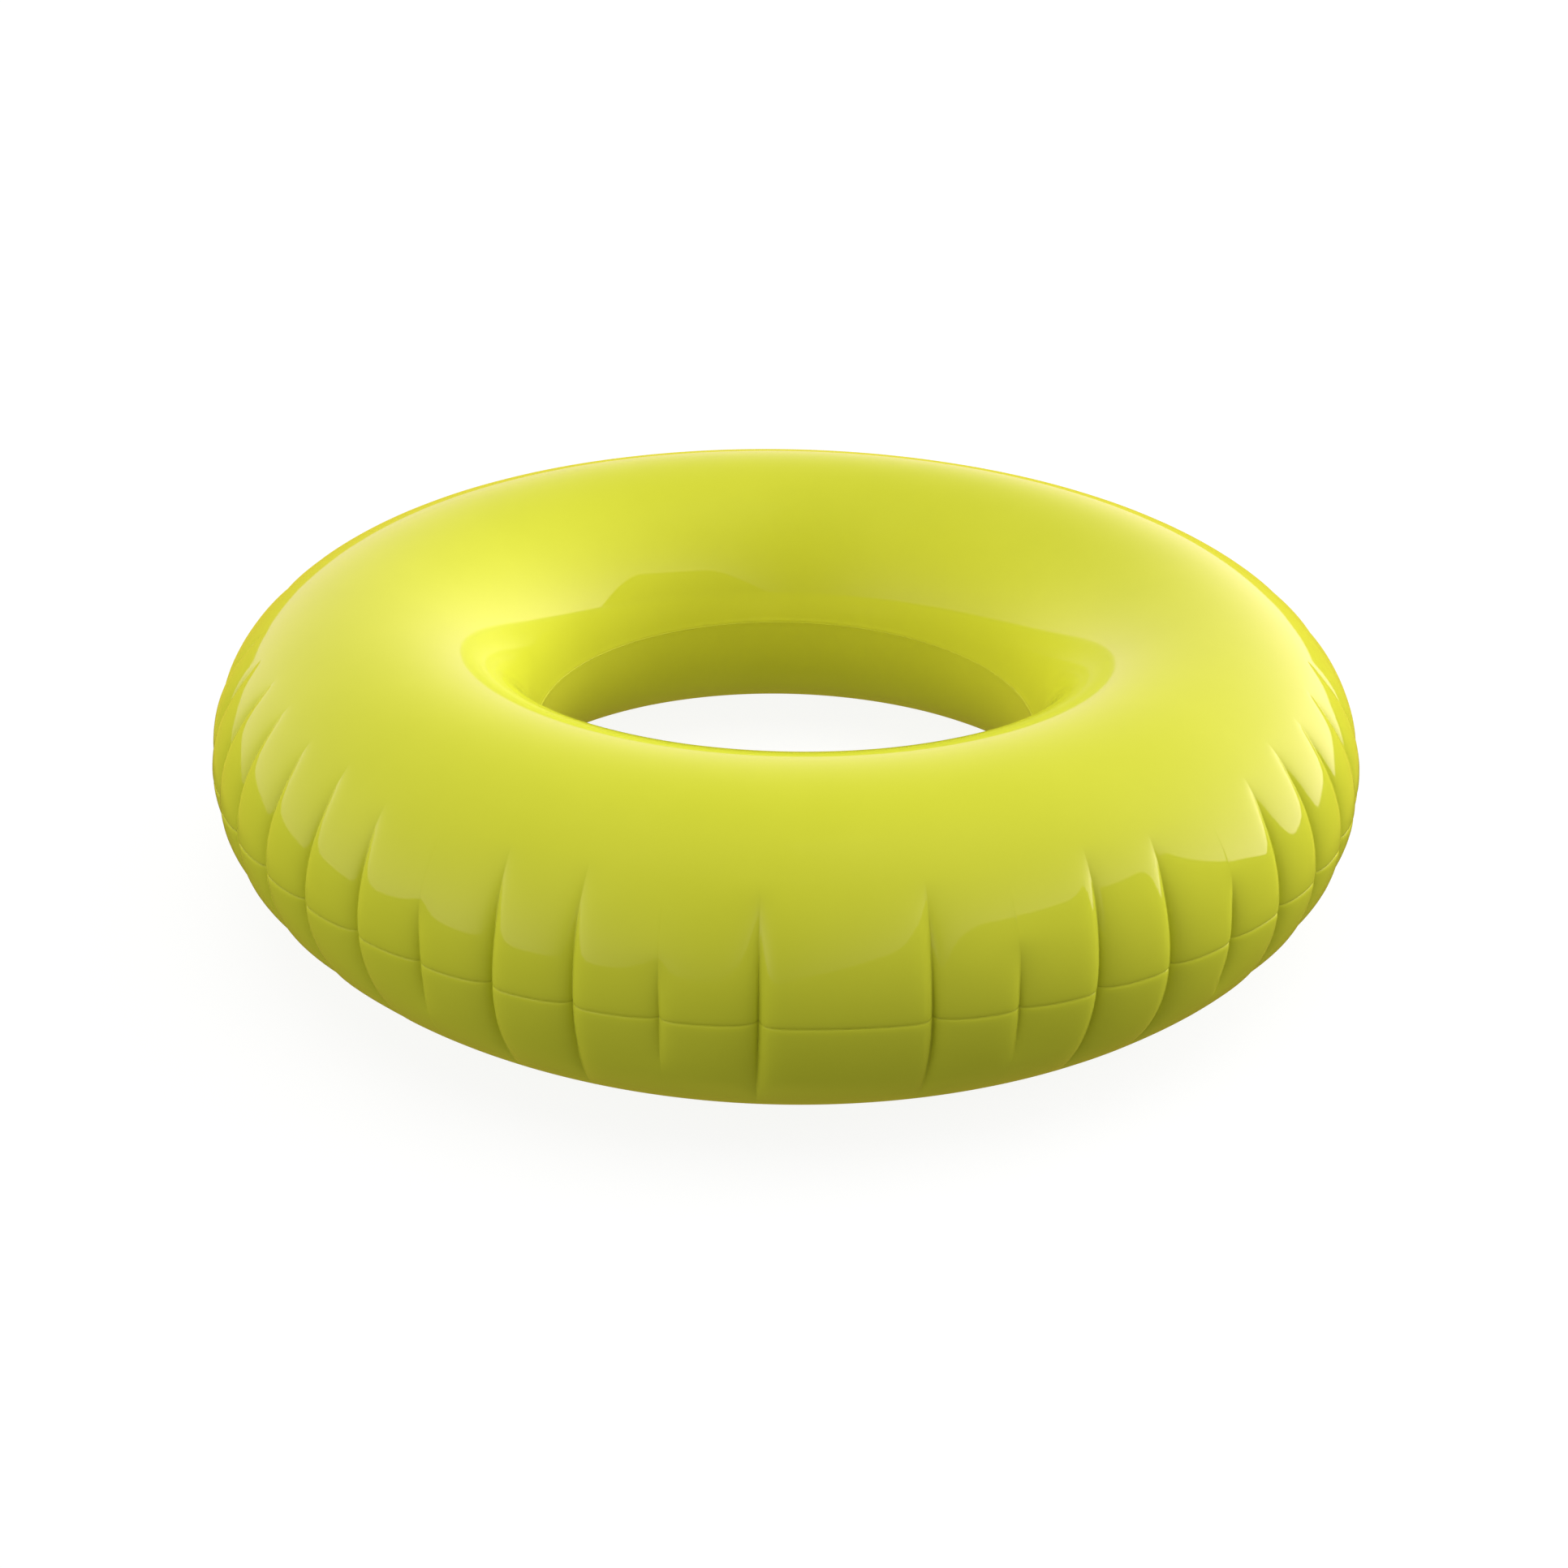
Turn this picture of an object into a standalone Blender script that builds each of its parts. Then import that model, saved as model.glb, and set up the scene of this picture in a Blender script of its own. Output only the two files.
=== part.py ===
"""One-rider inflatable ring for towing: two ring-shaped PVC skins welded along an outer and an inner
seam, and a screw-in one-way air valve with a tethered cap, set in the lower skin at the back.

Frame: metres, +Z up. The origin is on the ring's axis, in the plane that the ring rests on.
-Y is the front of the ring, and the valve is at +Y, low on the outer side.
"""

import math

import bmesh
import bpy
from mathutils import Matrix, Vector

MM = 0.001

# The inflated ring.
OUTER_DIAMETER = 1.200  # across the outer seam
TUBE_WIDTH = 0.330  # of the air tube, from the outer seam to the inner seam
TUBE_HEIGHT = 0.305
SKIN_THICKNESS = 0.75 * MM
RUNNING_GAP = 0.3 * MM  # between pieces that touch, slide or turn on each other

# The welds. Each skin's edge turns into the tube as a flat lip, and a weld band joins the two lips.
LIP_WIDTH = 8.0 * MM
WELD_THICKNESS = 0.8 * MM
SEAM_DIP = 1.8 * MM  # depth of the valley that shows along each seam

# The air valve. Heights are along its own axis, from the outer face of the lower skin, outwards.
VALVE_AZIMUTH = math.radians(90)
VALVE_SECTION_ANGLE = math.radians(-45)  # round the tube's section, below the outer seam
FLANGE_WIDTH = 13.0 * MM
FLANGE_THICKNESS = 1.2 * MM
NECK_WALL = 2.5 * MM
NECK_DEPTH = 14.0 * MM
COLLAR_HEIGHT = 3.0 * MM
INSERT_RADIUS = 14.2 * MM  # of the part that screws into the neck
INSERT_DEPTH = 12.0 * MM
INSERT_RIM_WIDTH = 5.3 * MM
INSERT_RIM_LIP = 1.0 * MM  # thickness of the rim on each side of the strap's groove
GROOVE_DEPTH = 3.0 * MM
MOUTH_RADIUS = 9.0 * MM
SEAT_HEIGHT = -8.0 * MM  # the underside of the plate that the flap closes on
SEAT_THICKNESS = 2.0 * MM
SKIRT_RADIUS = 10.5 * MM  # the pocket under the seat, which the flap opens into
AIR_HOLES = 6
AIR_HOLE_RADIUS = 1.5 * MM
AIR_HOLE_CIRCLE = 4.6 * MM
FLAP_CLEARANCE = 2.5 * MM  # round the flap, for the air to pass
FLAP_THICKNESS = 1.0 * MM
FLAP_STEM_RADIUS = 1.2 * MM
FLAP_KNOB_RADIUS = 2.2 * MM
FLAP_KNOB_HEIGHT = 1.5 * MM
FLAP_TRAVEL = 2.5 * MM
GASKET_THICKNESS = 1.0 * MM
GASKET_WIDTH = 2.0 * MM
CAP_GASKET_WIDTH = 2.4 * MM
STRAP_THICKNESS = 1.5 * MM  # of its two eyes
STRAP_WEB_THINNING = 0.2 * MM  # how much thinner the strap is between its eyes
STRAP_WIDTH = 8.0 * MM
STRAP_EYE_WIDTH = 3.2 * MM
STRAP_LOOP = 6.5 * MM  # from the insert's rim to where the strap turns back
CAP_BRIM = 6.0 * MM  # how far the cap reaches past the mouth
CAP_THICKNESS = 5.5 * MM
CAP_LOBES = 16
CAP_LOBE_DEPTH = 0.7 * MM
CAP_EDGE_WIDTH = 3.5 * MM
CAP_DISH_DEPTH = 3.0 * MM
CAP_BAR_WIDTH = 4.0 * MM
PLUG_LENGTH = 9.7 * MM
PLUG_WALL = 2.0 * MM

# How finely round shapes are divided.
RING_STEPS = 60
SECTION_STEPS = 12  # facets over one skin
VALVE_STEPS = 32
LOBE_STEPS = 4
BEND_STEPS = 8
JOIN_DISTANCE = 1e-6
CUT_MARGIN = 5.0 * MM  # how far a cutter runs past what it cuts

# Worked out from the values above.
TUBE_MIDDLE = (OUTER_DIAMETER - TUBE_WIDTH) / 2  # radius of the tube's centre circle
SEAM_HEIGHT = TUBE_HEIGHT / 2
LIP_HEIGHT = WELD_THICKNESS / 2 + RUNNING_GAP  # of each lip's weld face from the seam's plane
BORE_RADIUS = INSERT_RADIUS + RUNNING_GAP
NECK_RADIUS = BORE_RADIUS + NECK_WALL
FLANGE_RADIUS = NECK_RADIUS + FLANGE_WIDTH
GASKET_HEIGHT = COLLAR_HEIGHT + RUNNING_GAP
RIM_RADIUS = INSERT_RADIUS + INSERT_RIM_WIDTH
RIM_HEIGHT = GASKET_HEIGHT + GASKET_THICKNESS + RUNNING_GAP
GROOVE_HEIGHT = RIM_HEIGHT + INSERT_RIM_LIP
GROOVE_TOP = GROOVE_HEIGHT + STRAP_THICKNESS + 2 * RUNNING_GAP
GROOVE_RADIUS = RIM_RADIUS - GROOVE_DEPTH
RIM_TOP = GROOVE_TOP + INSERT_RIM_LIP
FLAP_RADIUS = SKIRT_RADIUS - FLAP_CLEARANCE
STRAP_REACH = RIM_RADIUS + STRAP_LOOP
EYE_HEIGHT = RIM_TOP + RUNNING_GAP  # where the cap's gasket and the strap's upper eye lie
CAP_HEIGHT = EYE_HEIGHT + STRAP_THICKNESS + RUNNING_GAP
CAP_TOP = CAP_HEIGHT + CAP_THICKNESS
CAP_RADIUS = MOUTH_RADIUS + CAP_BRIM
CAP_DISH_RADIUS = CAP_RADIUS - CAP_EDGE_WIDTH
PLUG_RADIUS = MOUTH_RADIUS - RUNNING_GAP


def clear_scene():
    for obj in list(bpy.data.objects):
        bpy.data.objects.remove(obj)


def material(name, color, roughness):
    """A plastic or rubber, with no metal in it."""
    made = bpy.data.materials.new(name)
    made.use_nodes = True
    shader = made.node_tree.nodes["Principled BSDF"]
    shader.inputs["Base Color"].default_value = (*color, 1.0)
    shader.inputs["Roughness"].default_value = roughness
    shader.inputs["Metallic"].default_value = 0.0
    return made


def add_object(name, bm, surface=None, parent=None):
    """The bmesh as a named object, shaded smooth apart from its corners."""
    bmesh.ops.recalc_face_normals(bm, faces=bm.faces)
    mesh = bpy.data.meshes.new(name)
    bm.to_mesh(mesh)
    bm.free()
    mesh.shade_smooth()
    mesh.set_sharp_from_angle(angle=math.radians(35))
    obj = bpy.data.objects.new(name, mesh)
    obj.parent = parent
    bpy.context.scene.collection.objects.link(obj)
    if surface:
        mesh.materials.append(surface)
    return obj


def add_helper(name, bm, parent=None):
    """A cutter, or a shape that a Boolean joins to another."""
    obj = add_object(name, bm, parent=parent)
    obj.hide_render = True
    obj.display_type = "WIRE"
    return obj


def add_boolean(obj, other, operation):
    modifier = obj.modifiers.new(f"{operation.lower()}_{other.name}", "BOOLEAN")
    modifier.operation = operation
    modifier.object = other
    modifier.solver = "EXACT"


def turned(outline, steps):
    """An outline in (radius, height) turned round Z. One that starts on the axis stays open there."""
    bm = bmesh.new()
    points = [bm.verts.new((radius, 0.0, height)) for radius, height in outline]
    on_axis = outline[0][0] == 0.0
    pairs = list(zip(points, points[1:]))
    if not on_axis:
        pairs.append((points[-1], points[0]))
    edges = [bm.edges.new(pair) for pair in pairs]
    bmesh.ops.spin(
        bm, geom=points + edges, cent=(0, 0, 0), axis=(0, 0, 1), angle=math.tau, steps=steps, use_merge=True
    )
    bmesh.ops.remove_doubles(bm, verts=bm.verts, dist=JOIN_DISTANCE)
    return bm


def disc(radius, bottom, top, steps=VALVE_STEPS):
    return turned([(0.0, bottom), (radius, bottom), (radius, top), (0.0, top)], steps)


def ring(inner, outer, bottom, top, steps=VALVE_STEPS):
    return turned([(inner, bottom), (outer, bottom), (outer, top), (inner, top)], steps)


def prism(outline, bottom, top):
    """A flat outline in (x, y) pulled straight up from bottom to top."""
    bm = bmesh.new()
    face = bm.faces.new([bm.verts.new((x, y, bottom)) for x, y in outline])
    pulled = bmesh.ops.extrude_face_region(bm, geom=[face])["geom"]
    moved = [item for item in pulled if isinstance(item, bmesh.types.BMVert)]
    bmesh.ops.translate(bm, verts=moved, vec=(0, 0, top - bottom))
    return bm


def offset_path(path, distance):
    """The path moved to its left by distance, with mitred corners."""
    moved = []
    for i, point in enumerate(path):
        normals = []
        for a, b in ((i - 1, i), (i, i + 1)):
            if a >= 0 and b < len(path):
                along = (Vector(path[b]) - Vector(path[a])).normalized()
                normals.append(Vector((-along.y, along.x)))
        middle = sum(normals, Vector((0, 0))).normalized()
        moved.append(tuple(Vector(point) + middle * (distance / middle.dot(normals[0]))))
    return moved


def tube_arc():
    """The upper half of the tube's section in (radius, height over the seam), outer side first.

    The facets touch the ellipse from outside, so the top one is level and lies at full height.
    """
    step = math.pi / SECTION_STEPS
    reach = 1 / math.cos(step / 2)
    angles = [step * (i + 0.5) for i in range(SECTION_STEPS)]
    return [
        (
            TUBE_MIDDLE + TUBE_WIDTH / 2 * reach * math.cos(angle),
            TUBE_HEIGHT / 2 * reach * math.sin(angle),
        )
        for angle in angles
    ]


def skin_outline(side):
    """The closed section of a skin with its two lips; side is 1 for the upper skin, -1 for the lower."""
    outer_edge = OUTER_DIAMETER / 2 - SEAM_DIP
    inner_edge = OUTER_DIAMETER / 2 - TUBE_WIDTH + SEAM_DIP
    outside = [(outer_edge - LIP_WIDTH, LIP_HEIGHT), (outer_edge, LIP_HEIGHT)]
    outside += tube_arc()
    outside += [(inner_edge, LIP_HEIGHT), (inner_edge + LIP_WIDTH, LIP_HEIGHT)]
    inside = offset_path(outside, SKIN_THICKNESS)
    return [(radius, SEAM_HEIGHT + side * height) for radius, height in outside + inside[::-1]]


def weld_outline(edge, inwards):
    """The section of a weld band that ends flush with the skins' lips."""
    low = SEAM_HEIGHT - WELD_THICKNESS / 2
    high = SEAM_HEIGHT + WELD_THICKNESS / 2
    return [(edge, low), (edge + inwards, low), (edge + inwards, high), (edge, high)]


def flange_blank():
    """A ring that lies over the whole lower skin, from which the valve's curved flange is cut."""
    near = offset_path(tube_arc(), -RUNNING_GAP)
    far = offset_path(tube_arc(), -RUNNING_GAP - FLANGE_THICKNESS)
    outline = [(radius, SEAM_HEIGHT - height) for radius, height in near + far[::-1]]
    return turned(outline, RING_STEPS)


def valve_placement():
    """Where the valve's axis leaves the lower skin, and which way it points."""
    across = TUBE_WIDTH / 2 * math.cos(VALVE_SECTION_ANGLE)
    up = TUBE_HEIGHT / 2 * math.sin(VALVE_SECTION_ANGLE)
    away = Vector((math.cos(VALVE_AZIMUTH), math.sin(VALVE_AZIMUTH), 0))
    place = away * (TUBE_MIDDLE + across) + Vector((0, 0, SEAM_HEIGHT + up))
    outwards = away * (TUBE_HEIGHT * math.cos(VALVE_SECTION_ANGLE))
    outwards += Vector((0, 0, TUBE_WIDTH * math.sin(VALVE_SECTION_ANGLE)))
    outwards.normalize()
    along_ring = Vector((-math.sin(VALVE_AZIMUTH), math.cos(VALVE_AZIMUTH), 0))
    across_ring = outwards.cross(along_ring)
    turn = Matrix((along_ring, across_ring, outwards)).transposed().to_4x4()
    return Matrix.Translation(place) @ turn


def add_skins(vinyl, valve):
    add_object("upper_skin", turned(skin_outline(1), RING_STEPS), vinyl)
    lower = add_object("lower_skin", turned(skin_outline(-1), RING_STEPS), vinyl)
    hole = disc(NECK_RADIUS + RUNNING_GAP, -CUT_MARGIN, CUT_MARGIN)
    add_boolean(lower, add_helper("neck_hole_cutter", hole, valve), "DIFFERENCE")


def add_weld_bands(vinyl):
    outer_edge = OUTER_DIAMETER / 2 - SEAM_DIP
    inner_edge = OUTER_DIAMETER / 2 - TUBE_WIDTH + SEAM_DIP
    outer = turned(weld_outline(outer_edge, -LIP_WIDTH), RING_STEPS)
    inner = turned(weld_outline(inner_edge, LIP_WIDTH), RING_STEPS)
    add_object("outer_weld_band", outer, vinyl)
    add_object("inner_weld_band", inner, vinyl)


def add_valve_base(soft_plastic, valve):
    """The welded flange, curved like the skin, and the neck that the insert screws into."""
    base = add_object("valve_base", flange_blank(), soft_plastic)
    round_cut = disc(FLANGE_RADIUS, -NECK_DEPTH, NECK_DEPTH, VALVE_STEPS)
    neck = disc(NECK_RADIUS, -NECK_DEPTH, COLLAR_HEIGHT)
    bore = disc(BORE_RADIUS, -NECK_DEPTH - CUT_MARGIN, COLLAR_HEIGHT + CUT_MARGIN)
    add_boolean(base, add_helper("flange_round_cutter", round_cut, valve), "INTERSECT")
    add_boolean(base, add_helper("neck_blank", neck, valve), "UNION")
    add_boolean(base, add_helper("neck_bore_cutter", bore, valve), "DIFFERENCE")


def add_valve_insert(hard_plastic, valve):
    """The screwed body: a grooved rim, the cap's mouth, and a seat with air holes over the flap's pocket."""
    hub = FLAP_STEM_RADIUS + RUNNING_GAP
    seat_top = SEAT_HEIGHT + SEAT_THICKNESS
    outline = [
        (hub, SEAT_HEIGHT),
        (SKIRT_RADIUS, SEAT_HEIGHT),
        (SKIRT_RADIUS, -INSERT_DEPTH),
        (INSERT_RADIUS, -INSERT_DEPTH),
        (INSERT_RADIUS, RIM_HEIGHT),
        (RIM_RADIUS, RIM_HEIGHT),
        (RIM_RADIUS, GROOVE_HEIGHT),
        (GROOVE_RADIUS, GROOVE_HEIGHT),
        (GROOVE_RADIUS, GROOVE_TOP),
        (RIM_RADIUS, GROOVE_TOP),
        (RIM_RADIUS, RIM_TOP),
        (MOUTH_RADIUS, RIM_TOP),
        (MOUTH_RADIUS, seat_top),
        (hub, seat_top),
    ]
    insert = add_object("valve_insert", turned(outline, VALVE_STEPS), hard_plastic, valve)
    for i in range(AIR_HOLES):
        turn = math.tau * i / AIR_HOLES
        hole = disc(AIR_HOLE_RADIUS, SEAT_HEIGHT - CUT_MARGIN / 2, seat_top + CUT_MARGIN / 2, 12)
        place = (AIR_HOLE_CIRCLE * math.cos(turn), AIR_HOLE_CIRCLE * math.sin(turn), 0)
        bmesh.ops.translate(hole, verts=hole.verts, vec=place)
        add_boolean(insert, add_helper(f"air_hole_cutter_{i + 1}", hole, valve), "DIFFERENCE")


def add_check_flap(rubber, valve):
    """The one-way flap: a disc under the seat, on a stem with a knob that holds it in its hole."""
    top = SEAT_HEIGHT - RUNNING_GAP
    knob = SEAT_HEIGHT + SEAT_THICKNESS + FLAP_TRAVEL + RUNNING_GAP
    outline = [
        (0.0, top - FLAP_THICKNESS),
        (FLAP_RADIUS, top - FLAP_THICKNESS),
        (FLAP_RADIUS, top),
        (FLAP_STEM_RADIUS, top),
        (FLAP_STEM_RADIUS, knob),
        (FLAP_KNOB_RADIUS, knob),
        (FLAP_STEM_RADIUS, knob + FLAP_KNOB_HEIGHT),
        (0.0, knob + FLAP_KNOB_HEIGHT),
    ]
    add_object("check_flap", turned(outline, VALVE_STEPS), rubber, valve)


def add_gaskets(rubber, valve):
    inner = BORE_RADIUS + RUNNING_GAP
    gasket = ring(inner, inner + GASKET_WIDTH, GASKET_HEIGHT, GASKET_HEIGHT + GASKET_THICKNESS)
    add_object("insert_gasket", gasket, rubber, valve)
    inner = MOUTH_RADIUS + RUNNING_GAP
    gasket = ring(inner, inner + CAP_GASKET_WIDTH, EYE_HEIGHT, EYE_HEIGHT + STRAP_THICKNESS)
    add_object("cap_gasket", gasket, rubber, valve)


def strap_bend(low, high, start_low, start_high):
    """The strap's side view in (x, z): out over the rim, round a half turn and back to the groove."""
    middle = (low + high) / 2
    bend = (high - low) / 2
    path = [(start_high, high)]
    for i in range(BEND_STEPS + 1):
        angle = math.pi / 2 - math.pi * i / BEND_STEPS
        path.append((STRAP_REACH + bend * math.cos(angle), middle + bend * math.sin(angle)))
    path.append((start_low, low))
    return path


def add_cap_strap(soft_plastic, valve):
    """The tether: an eye in the insert's groove, an eye under the cap, and the strap between them."""
    low_inner = GROOVE_RADIUS + RUNNING_GAP
    low_outer = low_inner + STRAP_EYE_WIDTH
    low_height = GROOVE_HEIGHT + RUNNING_GAP
    high_inner = MOUTH_RADIUS + CAP_GASKET_WIDTH + 2 * RUNNING_GAP
    high_outer = high_inner + STRAP_EYE_WIDTH
    low_eye = ring(low_inner, low_outer, low_height, low_height + STRAP_THICKNESS)
    high_eye = ring(high_inner, high_outer, EYE_HEIGHT, EYE_HEIGHT + STRAP_THICKNESS)
    half = STRAP_THICKNESS / 2
    web_half = half - STRAP_WEB_THINNING / 2
    centre = strap_bend(
        low_height + half, EYE_HEIGHT + half, low_outer - STRAP_EYE_WIDTH / 3, high_outer - STRAP_EYE_WIDTH / 3
    )
    side = offset_path(centre, web_half) + offset_path(centre, -web_half)[::-1]
    web = prism(side, -STRAP_WIDTH / 2, STRAP_WIDTH / 2)
    bmesh.ops.rotate(web, verts=web.verts, cent=(0, 0, 0), matrix=Matrix.Rotation(math.pi / 2, 3, "X"))
    strap = add_object("cap_strap", low_eye, soft_plastic, valve)
    add_boolean(strap, add_helper("strap_web", web, valve), "UNION")
    add_boolean(strap, add_helper("strap_upper_eye", high_eye, valve), "UNION")


def lobed_outline():
    """The cap's gripped edge: a circle with shallow hollows."""
    count = CAP_LOBES * LOBE_STEPS
    outline = []
    for i in range(count):
        angle = math.tau * i / count
        radius = CAP_RADIUS - CAP_LOBE_DEPTH * (1 - math.cos(CAP_LOBES * angle)) / 2
        outline.append((radius * math.cos(angle), radius * math.sin(angle)))
    return outline


def half_dish_outline(side):
    """One of the two hollows beside the cap's finger bar."""
    reach = math.acos(CAP_BAR_WIDTH / 2 / CAP_DISH_RADIUS)
    angles = [reach * (2 * i / BEND_STEPS - 1) for i in range(BEND_STEPS + 1)]
    return [(side * CAP_DISH_RADIUS * math.cos(a), CAP_DISH_RADIUS * math.sin(a)) for a in angles]


def add_valve_cap(hard_plastic, valve):
    """The screw cap: a gripped disc with a finger bar, on a hollow plug."""
    cap = add_object("valve_cap", prism(lobed_outline(), CAP_HEIGHT, CAP_TOP), hard_plastic, valve)
    plug_end = CAP_HEIGHT - PLUG_LENGTH
    plug = disc(PLUG_RADIUS, plug_end, CAP_HEIGHT + CAP_THICKNESS / 4)
    hollow = disc(PLUG_RADIUS - PLUG_WALL, plug_end - CUT_MARGIN, CAP_HEIGHT)
    add_boolean(cap, add_helper("plug_blank", plug, valve), "UNION")
    add_boolean(cap, add_helper("plug_hollow_cutter", hollow, valve), "DIFFERENCE")
    for name, side in (("left", -1), ("right", 1)):
        dish = prism(half_dish_outline(side), CAP_TOP - CAP_DISH_DEPTH, CAP_TOP + CUT_MARGIN)
        add_boolean(cap, add_helper(f"dish_cutter_{name}", dish, valve), "DIFFERENCE")


def main():
    clear_scene()
    vinyl = material("lime_vinyl", (0.56, 0.60, 0.03), 0.12)
    soft_plastic = material("valve_soft_plastic", (0.035, 0.037, 0.04), 0.45)
    hard_plastic = material("valve_hard_plastic", (0.05, 0.052, 0.055), 0.35)
    rubber = material("seal_rubber", (0.02, 0.02, 0.02), 0.6)
    valve = bpy.data.objects.new("valve_axis", None)
    valve.matrix_world = valve_placement()
    bpy.context.scene.collection.objects.link(valve)
    add_skins(vinyl, valve)
    add_weld_bands(vinyl)
    add_valve_base(soft_plastic, valve)
    add_valve_insert(hard_plastic, valve)
    add_check_flap(rubber, valve)
    add_gaskets(rubber, valve)
    add_cap_strap(soft_plastic, valve)
    add_valve_cap(hard_plastic, valve)


main()
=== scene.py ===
"""A bare inflatable ring for one rider: two glossy lime PVC skins welded along a puckered outer seam and
a smooth inner seam, with a two-part screw valve low at the back. Lengths are in metres.

Angles round the ring are degrees from its front (-Y) towards its right (+X). Angles round the tube's
section are degrees from the outer seam, up over the crown to the inner seam, and negative below.
"""
import math

import bmesh
import bpy
import numpy as np
from mathutils import Matrix, Vector


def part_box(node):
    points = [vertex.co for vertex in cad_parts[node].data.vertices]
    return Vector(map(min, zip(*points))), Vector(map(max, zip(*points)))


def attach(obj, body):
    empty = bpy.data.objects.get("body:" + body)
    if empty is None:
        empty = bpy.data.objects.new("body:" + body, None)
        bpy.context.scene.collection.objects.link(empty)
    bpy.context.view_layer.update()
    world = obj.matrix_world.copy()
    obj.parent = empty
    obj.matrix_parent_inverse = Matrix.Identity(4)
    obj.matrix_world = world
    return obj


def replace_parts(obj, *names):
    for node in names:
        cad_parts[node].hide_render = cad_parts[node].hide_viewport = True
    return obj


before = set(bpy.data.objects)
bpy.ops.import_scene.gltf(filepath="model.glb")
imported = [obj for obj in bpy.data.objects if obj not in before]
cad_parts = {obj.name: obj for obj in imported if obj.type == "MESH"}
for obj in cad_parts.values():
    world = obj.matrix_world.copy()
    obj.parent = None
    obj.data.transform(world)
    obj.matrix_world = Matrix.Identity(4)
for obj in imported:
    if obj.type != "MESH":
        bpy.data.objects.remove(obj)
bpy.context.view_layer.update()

MM = 0.001

# The camera and the floor.
CAMERA_LENS = 46.66
CAMERA_SENSOR = 36.0
CAMERA_PLACE = (0.0, -1.986, 1.0854)
CAMERA_TARGET = (-0.0012, 0.0, 0.0720)
CAMERA_ROLL = 1.185
FLOOR_HALF_SIZE = 30.0
FLOOR_GAP = 0.2 * MM  # under the ring
FLOOR_COLOR = (0.14, 0.14, 0.14, 1)
FLOOR_GLOW = 0.89

# The finishes.
LIME = (0.685, 0.71, 0.042, 1)
PALE_LIME = (0.735, 0.755, 0.052, 1)
SOFT_PLASTIC = (0.035, 0.037, 0.04)
HARD_PLASTIC = (0.05, 0.052, 0.055)
RUBBER = (0.02, 0.02, 0.02)

# The sky. Angles are degrees round the ring, and heights are a direction's z.
SKY_LEVEL = 3.05
SKY_LOBES = (  # middle angle, width, added brightness
    (110.0, 42.0, 1.80),
    (180.0, 45.0, -1.60),
    (-90.0, 45.0, -1.24),
    (0.0, 45.0, -3.00),
)
SKY_FALL = 0.60  # the height at which the sky has dimmed to 1 / e
GLOSS_LOBE = (42.0, 36.0, 1.2)  # the same, seen in reflections only
SKYLINE_RISE = (-10.0, 40.0)
SKYLINE_FALL = (72.0, 104.0)
SKYLINE_HEIGHT = 0.50
SKYLINE_SOFTNESS = 0.006
GROUND_LEVEL = 0.20
BACK_GROUND = 0.25
BACK_GROUND_GLOSS = 0.65  # seen in reflections only
BACK_GROUND_WIDTH = 80.0
FAR_GROUND = (-0.42, -0.34)  # heights between which the ground's reflection fades in
BACK_SHADE = 0.42
BACK_SHADE_LOBE = (185.0, 60.0)
SKY_TINT = (1.21, 1.21, 1.21, 1)
GLOSS_TINT = (0.65, 0.52, 0.45, 1)
GROUND_GLOSS_TINT = (0.72, 0.58, 0.06, 1)

# The lamps.
HOLE_LAMP_PLACE = (0.05, -0.13, 0.15)
HOLE_LAMP_POWER = 0.74
HOLE_LAMP_COLOR = (1.0, 0.86, 0.6)
HOLE_LAMP_RADIUS = 0.06
LAMPS = (  # name, angle round the ring, elevation, strength
    ("top_lamp", 0.0, 90.0, 1.22),
    ("right_lamp", 126.0, 18.0, 0.63),
)
LAMP_SPREAD = 50.0
LAMP_DISTANCE = 3.0


def skin_points():
    """The upper skin's CAD points, (count, 3)."""
    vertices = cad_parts["upper_skin"].data.vertices
    points = np.empty(3 * len(vertices), np.float32)
    vertices.foreach_get("co", points)
    return points.reshape(-1, 3).astype(float)


# The ring, from the frame.
OUTER_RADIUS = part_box("upper_skin")[1][0]
INNER_RADIUS = float(np.hypot(*skin_points()[:, :2].T).min())
TUBE_HALF_HEIGHT = (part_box("upper_skin")[1][2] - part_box("lower_skin")[0][2]) / 2
SEAM_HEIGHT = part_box("lower_skin")[0][2] + TUBE_HALF_HEIGHT
TUBE_HALF_WIDTH = (OUTER_RADIUS - INNER_RADIUS) / 2
TUBE_MIDDLE = (OUTER_RADIUS + INNER_RADIUS) / 2
SKIN_THICKNESS = 0.75 * MM
LIP_WIDTH = 8.0 * MM
LIP_HEIGHT = 0.5 * MM  # of each skin's lip over the seam's plane
BAND_HALF_HEIGHT = 0.4 * MM

# The puckers along the outer seam.
PUCKER_COUNT = 49
PUCKER_PITCH = 360 / PUCKER_COUNT
FIRST_PUCKER = -1.7
MISSING_PUCKER = 1  # counted from the first one; its place is one wide pillow
SHORT_PUCKERS = (-4, -1, 3, 6)  # counted the same way; elsewhere every third one is short
FRONT_PUCKERS = 9  # on each side of the first one
LONG_REACH = 52.0
SHORT_REACH = 25.0
FRONT_SHORTENING = 0.16  # of the reach, at the front
FRONT_SHALLOWING = 0.2  # of the depth, at the front
FRONT_NUDGE = 0.85  # degrees towards the left, at the front
NUDGE_SPREAD = 7  # puckers
LONG_DEPTH = 14.5 * MM
SHORT_DEPTH = 9.0 * MM
FOLD_SHARE = 0.30  # of the depth, in the narrow fold; the rest is in the wide hollow beside it
FOLD_WIDTH = 2.3 * MM
NEAR_HOLLOW_WIDTH = 5.5 * MM  # on a pucker's side towards the ring's front
FAR_HOLLOW_WIDTH = 15.0 * MM
FRONT_TURN = 5.0  # the angle that counts as the ring's front for that
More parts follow.
